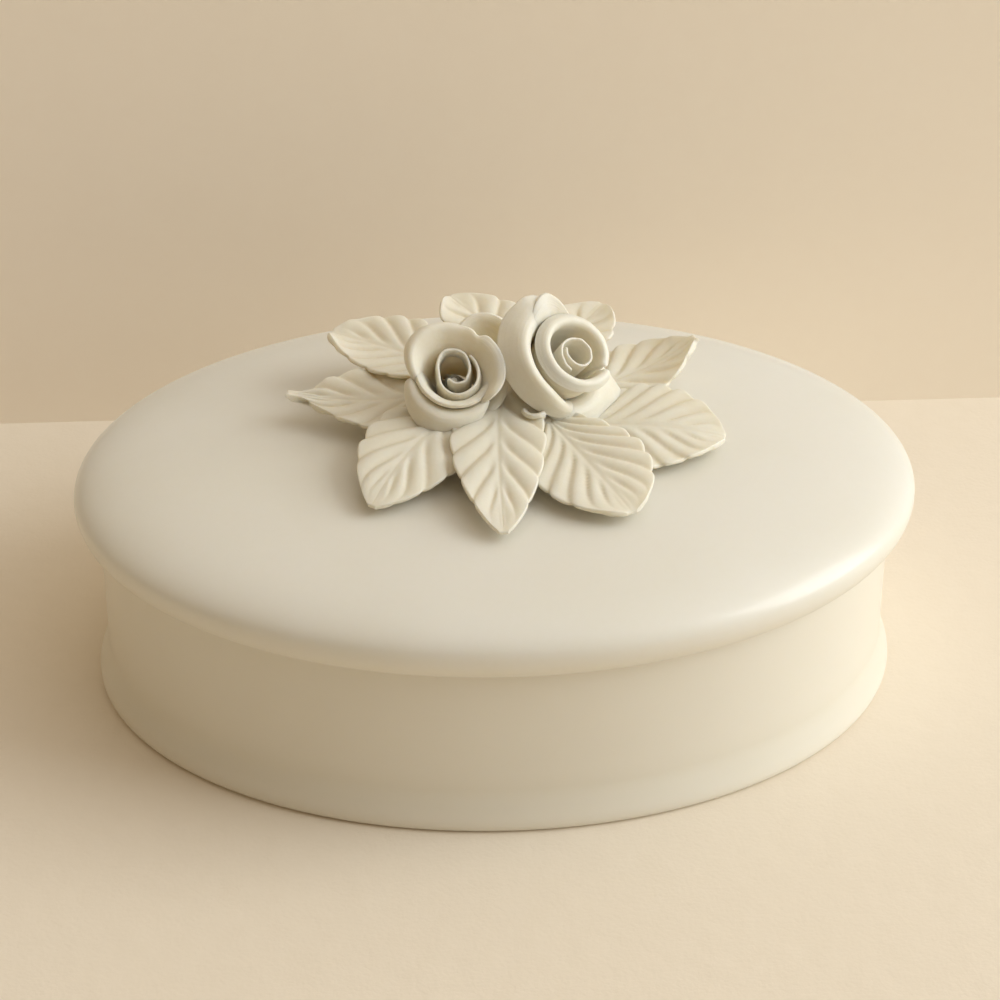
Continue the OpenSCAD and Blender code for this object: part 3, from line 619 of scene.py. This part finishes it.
# Each station is an angle, then radius and height of the foot, waist, crest and lip there.
petalShapes = {
    "left_rose_heart": {
        "rose": "left", "wall": 0.65, "lip": 0.6, "rows": 12, "columns": 130, "ends": (0.02, 0.03),
        "stations": rolledStrip(4.5, 1.1, [
            (-70, 0.85, 8.3), (-20, 1.05, 8.4), (20, 1.45, 8.5), (60, 2, 8.6), (100, 2.5, 8.8),
            (135, 3.3, 9), (165, 4.1, 9.3), (198, 4.25, 9.5), (226, 3.5, 9.4), (262, 2.5, 9.2),
            (300, 2.6, 9.1), (340, 3.2, 9.1), (376, 3.8, 9.2), (415, 3.95, 9.2), (450, 4.05, 9.1),
            (482, 4.1, 9.1), (506, 4.2, 9.2)])},
    "left_rose_inner_petal": {
        "rose": "left", "wall": 1.1, "lip": 0.6, "rows": 18, "columns": 60, "ends": (0.06, 0.1),
        "stations": onFoot((3.3, 1.5), [
            (-98, 4.8, 5.6, 5.9, 8, 6.5, 8.7), (-82, 4.4, 5.4, 5.4, 8.2, 6.2, 9.1),
            (-60, 4.2, 5.2, 5.1, 8.4, 6, 9.3), (-35, 4.1, 5.2, 4.9, 8.4, 5.9, 9.3),
            (-10, 4.2, 5.2, 5, 8.3, 5.9, 9.1), (20, 4.3, 5.2, 5.1, 8.1, 6, 8.8),
            (48, 4.4, 5, 5.3, 7.9, 6.3, 8.5), (74, 4.5, 4.8, 5.8, 7.9, 6.6, 8.5),
            (98, 4.6, 4.8, 6.1, 7.9, 6.6, 8.4)])},
    "left_rose_outer_petal": {
        "rose": "left", "wall": 1.2, "lip": 0.42, "rows": 26, "columns": 110, "ends": (0.05, 0.05),
        "stations": onFoot((3.9, 1), [
            (44, 5, 4.6, 6.2, 7.4, 6.9, 7.9), (58, 5, 5.4, 6.9, 8.9, 7.8, 9.6),
            (78, 4.9, 5.8, 7.1, 9.2, 8.35, 9.9), (100, 4.8, 6, 7, 9.4, 8.4, 10.2),
            (122, 4.7, 6.2, 6.9, 9.7, 8.35, 10.5), (138, 4.7, 6.3, 6.8, 9.8, 8.1, 10.8),
            (147, 4.7, 6.4, 6.6, 9.9, 7.3, 10.6), (158, 4.7, 6.4, 6.8, 10.1, 7.7, 11),
            (176, 4.8, 6.4, 7, 10.4, 8.1, 10.8), (198, 4.9, 6.4, 7.5, 10.8, 8.7, 10.6),
            (220, 5, 6.2, 7.8, 11.1, 9.1, 10.5), (240, 5.1, 6, 7.7, 10.7, 9, 10),
            (260, 5.1, 5.6, 6.9, 9.7, 7.8, 9.1), (271, 5, 5.2, 6.3, 8.8, 6.9, 8.2),
            (282, 4.9, 4.8, 5.8, 7.7, 6.2, 7.1), (294, 4.8, 4.4, 5.4, 6.8, 5.8, 6.2)])},
    "left_rose_low_petal": {
        "rose": "left", "wall": 1.6, "lip": 0.7, "rows": 22, "columns": 72, "ends": (0.12, 0.1),
        "stations": onFoot((4.2, 0.2), [
            (-86, 5.7, 5.3, 7, 7.7, 7.7, 7.2), (-76, 5.5, 5.3, 7, 8, 8, 7),
            (-64, 5.3, 5.4, 7.1, 8.1, 8.5, 6.4), (-46, 5.2, 5.5, 7.2, 7.9, 9.1, 5.5),
            (-22, 5.3, 5.5, 7.4, 7.8, 9.75, 5.1), (0, 5.4, 5.4, 7.3, 7.6, 9.2, 5),
            (24, 5.6, 5.4, 7, 7.3, 8.1, 5.6), (44, 5.7, 5.4, 6.6, 7.2, 7.2, 6.4),
            (58, 5.6, 5.4, 6.2, 7, 6.5, 6.8)])},
    "left_rose_under_petal": {
        "rose": "left", "wall": 1.3, "lip": 0.6, "rows": 14, "columns": 30, "ends": (0.15, 0.15),
        "stations": onFoot((4, -0.5), [
            (50, 5.4, 2, 7.2, 4.2, 8, 4.4), (66, 5.6, 2.2, 7.6, 4.6, 8.6, 4.8),
            (84, 5.6, 2.3, 7.8, 4.8, 8.9, 4.9), (102, 5.5, 2.2, 7.6, 4.6, 8.7, 4.7),
            (118, 5.2, 2, 7, 4, 7.8, 4)])},
    "right_rose_heart": {
        "rose": "right", "wall": 0.6, "lip": 0.65, "rows": 12, "columns": 120, "ends": (0.03, 0.04),
        "middle": (1.2, 0.9), "stations": rolledStrip(5.5, 0.85, [
            (205, 2.2, 12.3), (260, 2.25, 12.5), (318, 2.3, 12.5), (380, 2.3, 12.7),
            (440, 2.3, 12.9), (498, 2.4, 13), (540, 2.8, 12.8), (588, 3.2, 12.5),
            (630, 3.25, 12.1), (664, 3.15, 11.6)])},
    "right_rose_inner_petal": {
        "rose": "right", "wall": 1.2, "lip": 0.6, "rows": 24, "columns": 100, "ends": (0.04, 0.04),
        "middle": (0.85, 1.3), "stations": onFoot((3.3, 1.5), [
            (32, 4.2, 7, 4.8, 11.3, 5.5, 11.4), (62, 4.4, 7.2, 5, 11.9, 6, 11.7),
            (100, 4.6, 7.4, 5.1, 12.3, 6.3, 12.1), (150, 4.8, 7.6, 5.2, 12.5, 6.7, 12.1),
            (190, 5.5, 7.8, 5.6, 12.4, 7.3, 11.7), (230, 6.2, 8, 5.9, 12.2, 7.6, 11),
            (275, 6.3, 8, 5.9, 12, 7.4, 10.6), (320, 5.9, 8, 5.8, 11.9, 7, 10.8),
            (358, 5, 7.8, 5.6, 11.9, 6.8, 11.1), (388, 4.9, 7.6, 5.8, 11.8, 6.8, 11.2)])},
    "right_rose_left_petal": {
        "rose": "right", "wall": 1.3, "lip": 0.5, "rows": 26, "columns": 90, "ends": (0.04, 0.1),
        "stations": onFoot((4.4, 0.5), [
            (158, 6.4, 7, 8.2, 10.2, 9, 10.8), (170, 6.2, 7.4, 8.3, 11.4, 10.6, 11.9),
            (181, 6.1, 7.5, 8.1, 11.8, 11.5, 11.8), (191, 6, 7.5, 7.9, 11.6, 11.7, 10.8),
            (205, 6, 7.4, 7.8, 11.4, 11.8, 9), (225, 6.1, 7.2, 7.9, 11.2, 11.2, 7.6),
            (250, 6.2, 7, 8.1, 11, 10.4, 6.8), (275, 6.3, 6.8, 8.2, 10.6, 10, 6.4),
            (298, 6.4, 6.4, 8.3, 10, 9.8, 6.3), (316, 6.5, 6, 8.4, 8.8, 9.5, 6.3),
            (330, 6.5, 5.6, 8.1, 7.4, 9.1, 6), (344, 6.3, 5.2, 7.6, 6.2, 8.4, 5.4)])},
    "right_rose_back_petal": {
        "rose": "right", "wall": 1.2, "lip": 0.6, "rows": 24, "columns": 44, "ends": (0.05, 0.05),
        "stations": onFoot((4.6, 0), [
            (118, 5.2, 6.8, 5.6, 10, 5.9, 11.2), (136, 5.4, 7, 6.1, 10.8, 6.8, 12.2),
            (148, 5.5, 7.2, 6.5, 11.2, 8.2, 13), (158, 5.6, 7.3, 6.9, 11.4, 9.5, 13.4),
            (167, 5.6, 7.3, 7.1, 11.5, 10.4, 13.4), (178, 5.6, 7.3, 7.2, 11.6, 10, 12.9),
            (190, 5.7, 7.2, 7.3, 11.4, 8.9, 12),
            (199, 5.8, 7, 7.4, 11, 8.1, 11.4), (208, 5.9, 6.9, 7.4, 10.4, 7.8, 10.7),
            (216, 5.9, 6.8, 7.2, 9.8, 7.5, 10)])},
    "right_rose_low_petal": {
        "rose": "right", "wall": 1.3, "lip": 0.6, "rows": 22, "columns": 60, "ends": (0.05, 0.08),
        "stations": onFoot((4.6, -0.5), [
            (-52, 6, 4, 7.4, 6, 8.2, 4.9), (-26, 6.2, 4.4, 8.1, 6.3, 9.9, 4.8),
            (-2, 6.4, 4.6, 8.5, 6.5, 10.9, 4.8), (20, 6.5, 4.8, 8.7, 6.7, 11.6, 4.9),
            (36, 6.5, 5, 8.8, 6.8, 13.2, 5), (44, 6.5, 5, 8.8, 6.9, 14.2, 4.8),
            (52, 6.4, 5, 8.6, 6.9, 12, 5.8), (64, 6.2, 5, 8, 6.9, 9.8, 6.2),
            (78, 6, 5, 7.4, 6.6, 8.4, 6.2)])},
}
loosePetals = {
    "tucked_petal": {
        "share": (0.5, 0.0809, 0.1524), "turn": -90, "lean": 20,
        "wall": 1.2, "lip": 0.6, "rows": 18, "columns": 40, "ends": (0.12, 0.12),
        "stations": onFoot((2.6, -2), [
            (112, 3.6, 2, 4.6, 4.6, 5, 5.6), (140, 3.8, 2.4, 5, 5.6, 5.7, 6.7),
            (180, 3.9, 2.6, 5.2, 6.2, 6, 7.2), (220, 3.8, 2.4, 5, 5.6, 5.7, 6.7),
            (248, 3.6, 2, 4.6, 4.6, 5, 5.6)])},
    "small_sepal": {
        "share": (0.5715, 0.787, 0.7335), "turn": -100, "lean": 30,
        "wall": 1.1, "lip": 0.6, "rows": 12, "columns": 24, "ends": (0.15, 0.15),
        "stations": onFoot((1.2, -2), [
            (-72, 1.5, -0.6, 1.9, 0.8, 2.2, 1.2), (-30, 1.6, -0.4, 2.1, 1.2, 2.5, 1.7),
            (20, 1.6, -0.4, 2.1, 1.3, 2.5, 1.8), (62, 1.5, -0.6, 1.9, 0.9, 2.2, 1.3)])},
}
handMarks = {"dent": 0.10, "lipWander": 0.12, "endDrop": 0.45}


def buildPetal(order, node, shape, stand):
    stations = shape["stations"]
    middle = shape.get("middle", (0, 0))
    startEnd, stopEnd = shape["ends"]

    def place(u, s):
        turned = (u + 1) / 2
        row = along(stations, turned)
        # the corners of a petal are rounded off
        corner = max(0.0, 1 - turned / startEnd, 1 - (1 - turned) / stopEnd)
        height = 1 - handMarks["endDrop"] * (1 - math.sqrt(1 - corner * corner))
        profile = [(row[i], row[i + 1]) for i in (1, 3, 5, 7)]
        r, h = along(profile, s * height)
        angle = math.radians(row[0])
        dent = noise.noise(Vector((angle * 1.7, s * 2.2, order * 5.1)))
        r += handMarks["dent"] * dent
        h += handMarks["lipWander"] * s * s * noise.noise(Vector((angle * 3.3, 8.1, order * 2.9)))
        x, y = middle[0] + r * math.cos(angle), middle[1] + r * math.sin(angle)
        point = stand @ Vector((x * mm, y * mm, h * mm))
        # painted shade, darkest at the petal's foot deep in the rose
        hollow = 1 - ease(0, 0.6, s)
        return point, hollow, 1 - ease(0.55, 1, s), (angle * 0.8, s * 0.9)

    piece = shapeSheet("clay_" + node, shape["rows"], shape["columns"], place, shape["wall"] * mm,
                       shape["lip"], 0)
    finishPiece(piece, "lid", "satin_bisque", petalClay, node)


stands = {side: standRose(rose) for side, rose in roseShapes.items()}
for order, (node, shape) in enumerate(petalShapes.items()):
    buildPetal(order, node, shape, stands[shape["rose"]])
for order, (node, shape) in enumerate(loosePetals.items()):
    buildPetal(20 + order, node, shape, standRose({"node": node, **shape}))


def buildCone(side, rose):
    height, radius = rose["cone"]
    piece = addPrimitive(bpy.ops.mesh.primitive_cone_add, "clay_" + rose["node"], vertices=64,
                         radius1=radius * mm, radius2=radius * 0.3 * mm, depth=height * mm,
                         location=(0, 0, height / 2 * mm))
    bpy.ops.object.transform_apply(location=True, rotation=True, scale=True)
    inEditMode(piece)
    bpy.ops.mesh.bevel(offset=0.5 * mm, segments=4)
    bpy.ops.object.mode_set(mode="OBJECT")
    piece.data.transform(stands[side])
    finishPiece(piece, "lid", "satin_bisque", padClay, rose["node"])


for side, rose in roseShapes.items():
    buildCone(side, rose)


def buildPad():
    low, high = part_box("flower_pad")
    centre, half = (low + high) / 2, (high - low) / 2
    piece = addPrimitive(bpy.ops.mesh.primitive_ico_sphere_add, "clay_flower_pad", subdivisions=6, radius=1)
    # painted shade: the pad under the roses is darkened all over
    padShade = [0.7] * len(piece.data.vertices)
    piece.data.attributes.new("hollow", "FLOAT", "POINT").data.foreach_set("value", padShade)
    for vertex in piece.data.vertices:
        x, y, z = vertex.co
        lump = noise.noise(vertex.co * 3.1) * 0.4 * mm * (1 - abs(z))
        place = Vector((centre.x + x * (half.x - lump), centre.y + y * (half.y - lump), 0))
        top = (high.z - domeHeight(centre.x, centre.y)) * max(0.0, z) ** 0.8
        bump = noise.noise(vertex.co * 5.3) * 0.25 * mm * max(0.0, z)
        place.z = domeHeight(place.x, place.y) + top + bump
        vertex.co = place
    finishPiece(piece, "lid", "satin_bisque", padClay, "flower_pad")


buildPad()
print("roses and pad ready")


# Stage: a pale table top against a pale wall.
stageShape = {"wallGap": 28 * mm, "wallSize": 3.0, "tableSize": 8.0}
tableFinish = {
    "light": (0.89, 0.80, 0.665, 1), "dark": (0.87, 0.78, 0.64, 1), "scale": 180.0, "grain": 0.10,
    "rough": 0.6, "glow": 0.0,
}
wallFinish = {
    "light": (0.92, 0.835, 0.70, 1), "dark": (0.91, 0.815, 0.68, 1), "scale": 60.0, "grain": 0.05,
    "rough": 0.8, "glow": 0.06,
}


def stageMaterial(name, look):
    material, tree, shader, place = newMaterial(name)
    tones = useGroup(tree, "tones", {
        "Vector": place, "Light": look["light"], "Dark": look["dark"], "Broad Scale": 6.0,
        "Fine Scale": 300.0, "Fine Share": 0.3})
    tree.links.new(tones.outputs["Color"], shader.inputs["Base Color"])
    shader.inputs["Roughness"].default_value = look["rough"]
    shader.inputs["Specular IOR Level"].default_value = 0.25
    shader.inputs["Emission Color"].default_value = look["light"]
    shader.inputs["Emission Strength"].default_value = look["glow"]
    relief = useGroup(tree, "relief", {
        "Vector": place, "Wave Scale": look["scale"], "Wave Height": 0.25,
        "Grain Scale": look["scale"] * 7, "Grain Height": look["grain"]})
    bumpFrom(tree, shader, relief.outputs[0], 0.5, 1 * mm)
    return material


def clearFromBehind(material):  # the wall doesn't hide the object from behind
    tree = material.node_tree
    back = tree.nodes.new("ShaderNodeNewGeometry").outputs["Backfacing"]
    clear = tree.nodes.new("ShaderNodeBsdfTransparent").outputs[0]
    paint = tree.nodes["Principled BSDF"].outputs[0]
    mixed = addNode(tree, "ShaderNodeMixShader", {0: back, 1: paint, 2: clear}).outputs[0]
    tree.links.new(mixed, tree.nodes["Material Output"].inputs["Surface"])
    return material


def buildStage():
    s = stageShape
    floor = addPrimitive(bpy.ops.mesh.primitive_plane_add, "tableTop", size=s["tableSize"])
    floor.data.materials.append(stageMaterial("tableGrain", tableFinish))
    wallSpot = cadHigh.y + s["wallGap"]
    wall = addPrimitive(bpy.ops.mesh.primitive_plane_add, "wall", size=s["wallSize"],
                        location=(0, wallSpot, s["wallSize"] / 2), rotation=(math.pi / 2, 0, 0))
    bpy.ops.object.transform_apply(location=True, rotation=True, scale=True)
    wall.data.materials.append(clearFromBehind(stageMaterial("wallPaint", wallFinish)))
    wall.visible_shadow = False
    wall.visible_glossy = False


buildStage()

lightShapes = {
    "key": {"from": (-8, 30), "distance": 1.3, "size": 0.9, "power": 10.5, "colour": (0.93, 0.98, 1.0)},
    "fill": {"from": (180, 30), "distance": 1.3, "size": 0.9, "power": 0.6, "colour": (1.0, 0.84, 0.62)},
    "top": {"from": (0, 72), "distance": 1.3, "size": 1.1, "power": 1.8, "colour": (0.96, 0.98, 1.0)},
}
# the room is brighter on some sides: the strength is for light straight from that side
roomShape = {
    "right": {"from": (1, 0, 0.3), "colour": (0.93, 0.96, 1.0), "strength": 0.98},
    "front": {"from": (0, -1, 0.3), "colour": (1.0, 0.62, 0.20), "strength": 0.18},
    "back": {"from": (0, 1, 0.3), "colour": (1.0, 0.97, 0.9), "strength": 0.32},
    "top": {"from": (0, 0, 1), "colour": (1.0, 0.86, 0.68), "strength": 0.16},
    "left": {"from": (-1, 0, 0.3), "colour": (1.0, 0.80, 0.55), "strength": 0.09},
}
roomColour = (0.72, 0.64, 0.50, 1)


def buildRoom():
    world = bpy.data.worlds.new("softRoom")
    world.use_nodes = True
    tree = world.node_tree
    facing = tree.nodes.new("ShaderNodeTexCoord").outputs["Generated"]
    total = None
    for s in roomShape.values():
        side = Vector(s["from"]).normalized()
        turned = vectorNode(tree, "DOT_PRODUCT", {0: facing, 1: side}).outputs["Value"]
        share = mathNode(tree, "POWER", mathNode(tree, "MAXIMUM", turned, 0.0), 1.5)
        colour = Vector(s["colour"]) * s["strength"]
        lit = vectorNode(tree, "SCALE", {0: colour, "Scale": share}).outputs[0]
        total = lit if total is None else vectorNode(tree, "ADD", {0: total, 1: lit}).outputs[0]
    # past the table and the wall the room itself is a plain pale colour
    seen = tree.nodes.new("ShaderNodeLightPath").outputs["Is Camera Ray"]
    tree.links.new(mixColours(tree, seen, total, roomColour), tree.nodes["Background"].inputs[0])
    bpy.context.scene.world = world


def addLights():
    middle = (cadLow + cadHigh) / 2
    for name, s in lightShapes.items():
        turn, rise = (math.radians(angle) for angle in s["from"])
        away = Vector((math.cos(turn) * math.cos(rise), math.sin(turn) * math.cos(rise), math.sin(rise)))
        bpy.ops.object.light_add(type="AREA", location=middle + away * s["distance"])
        light = bpy.context.object
        light.name = name + "Light"
        light.rotation_mode = "QUATERNION"
        light.rotation_quaternion = away.to_track_quat("Z", "Y")
        light.data.size = s["size"]
        light.data.energy = s["power"]
        light.data.color = s["colour"]


buildRoom()
addLights()

viewShape = {
    "distance": 0.52, "azimuth": -3.15, "elevation": 33.6, "targetHeight": 25 * mm,
    "aimAside": 0.7452 * mm, "aimUp": 6.2991 * mm, "lens": 110.94, "roll": 0.185,
}


def addCamera():
    s = viewShape
    turn, rise = math.radians(s["azimuth"]), math.radians(s["elevation"])
    target = Vector((0, 0, s["targetHeight"]))
    back = Vector((math.sin(turn) * math.cos(rise), -math.cos(turn) * math.cos(rise), math.sin(rise)))
    place = target + back * s["distance"]
    aim = target + Vector((math.cos(turn), math.sin(turn), 0)) * s["aimAside"] + Vector((0, 0, s["aimUp"]))
    bpy.ops.object.camera_add(location=place)
    camera = bpy.context.object
    camera.rotation_mode = "QUATERNION"
    look = (aim - place).to_track_quat("-Z", "Y")
    camera.rotation_quaternion = look @ Quaternion((0, 0, 1), math.radians(s["roll"]))
    camera.data.lens = s["lens"]
    camera.data.sensor_width = 36
    bpy.context.scene.camera = camera


addCamera()
bpy.context.scene.view_settings.view_transform = "Standard"
print("stage, lights and camera ready")
